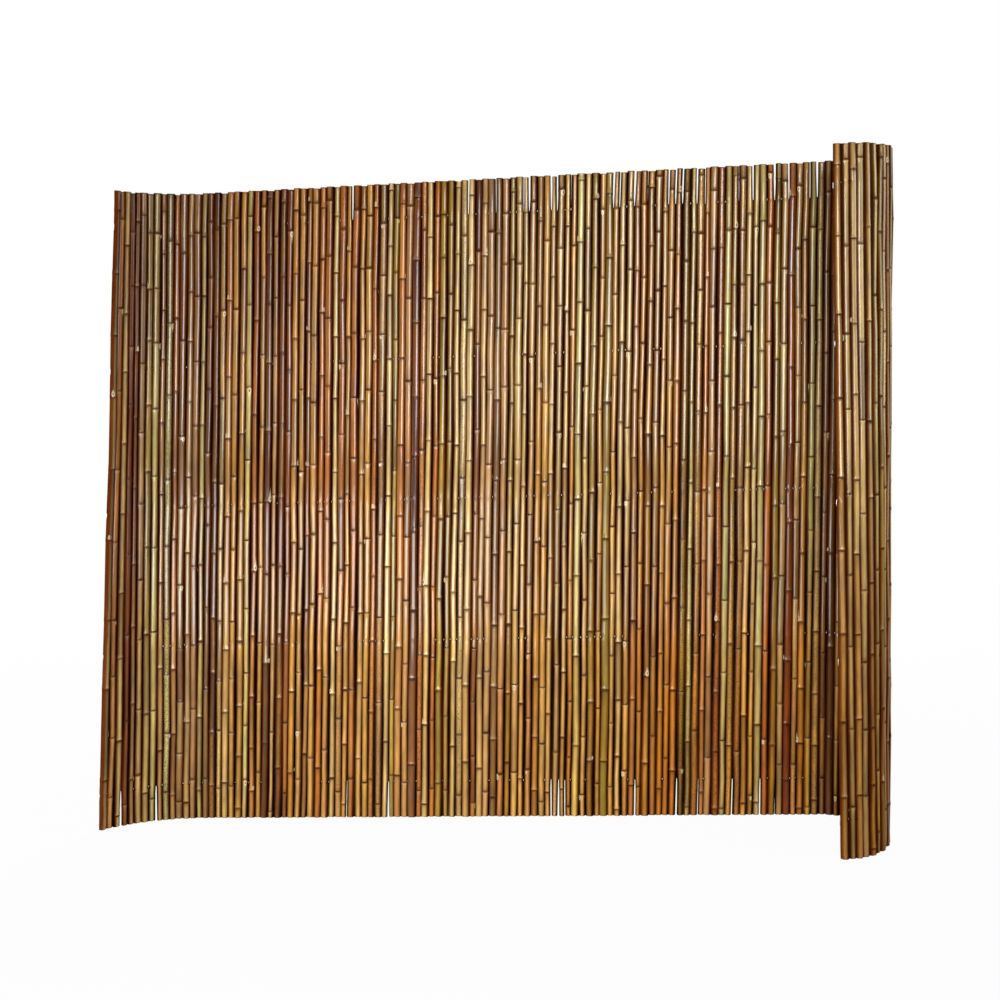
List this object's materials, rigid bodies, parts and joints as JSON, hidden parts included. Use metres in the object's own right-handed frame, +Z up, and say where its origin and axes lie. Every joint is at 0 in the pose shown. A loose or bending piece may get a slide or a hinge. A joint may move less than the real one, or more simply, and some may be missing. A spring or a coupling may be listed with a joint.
{
  "type": "bamboo roll up blind",
  "caption": "Mat of round bamboo canes threaded side by side on wires, standing upright half unrolled, one edge curled and the other still rolled.",
  "frame": {"origin": "middle of the ground the mat covers, on the plane of the cane feet", "axes": "+X along the flat panel from the curled edge to the rolled end, -Y towards the side the panel's show face looks at, +Z up along the canes"},
  "size_m": [2.2518, 0.319, 1.7997],
  "materials": {
    "cane": "clear gloss lacquer over whole bamboo poles of mixed honey, olive and red-brown tones",
    "wire": "galvanised"
  },
  "bodies": {
    "root": {"left_curl_canes_01": "cane", "left_curl_canes_02": "cane", "left_curl_canes_03": "cane", "left_curl_canes_04": "cane", "left_curl_canes_05": "cane", "panel_canes_01": "cane", "panel_canes_02": "cane", "panel_canes_03": "cane", "panel_canes_04": "cane", "panel_canes_05": "cane", "panel_canes_06": "cane", "panel_canes_07": "cane", "panel_canes_08": "cane", "panel_canes_09": "cane", "panel_canes_10": "cane", "panel_canes_11": "cane", "panel_canes_12": "cane", "panel_canes_13": "cane", "panel_canes_14": "cane", "panel_canes_15": "cane", "panel_canes_16": "cane", "panel_canes_17": "cane", "panel_canes_18": "cane", "panel_canes_19": "cane", "panel_canes_20": "cane", "panel_canes_21": "cane", "panel_canes_22": "cane", "panel_canes_23": "cane", "panel_canes_24": "cane", "panel_canes_25": "cane", "panel_canes_26": "cane", "panel_canes_27": "cane", "panel_canes_28": "cane", "panel_canes_29": "cane", "panel_canes_30": "cane", "rolled_end_canes_01": "cane", "rolled_end_canes_02": "cane", "rolled_end_canes_03": "cane", "rolled_end_canes_04": "cane", "rolled_end_canes_05": "cane", "rolled_end_canes_06": "cane", "rolled_end_canes_07": "cane", "rolled_end_canes_08": "cane", "wire_1": "wire", "wire_2": "wire", "wire_3": "wire", "wire_4": "wire", "wire_5": "wire"}
  },
  "joints": []
}
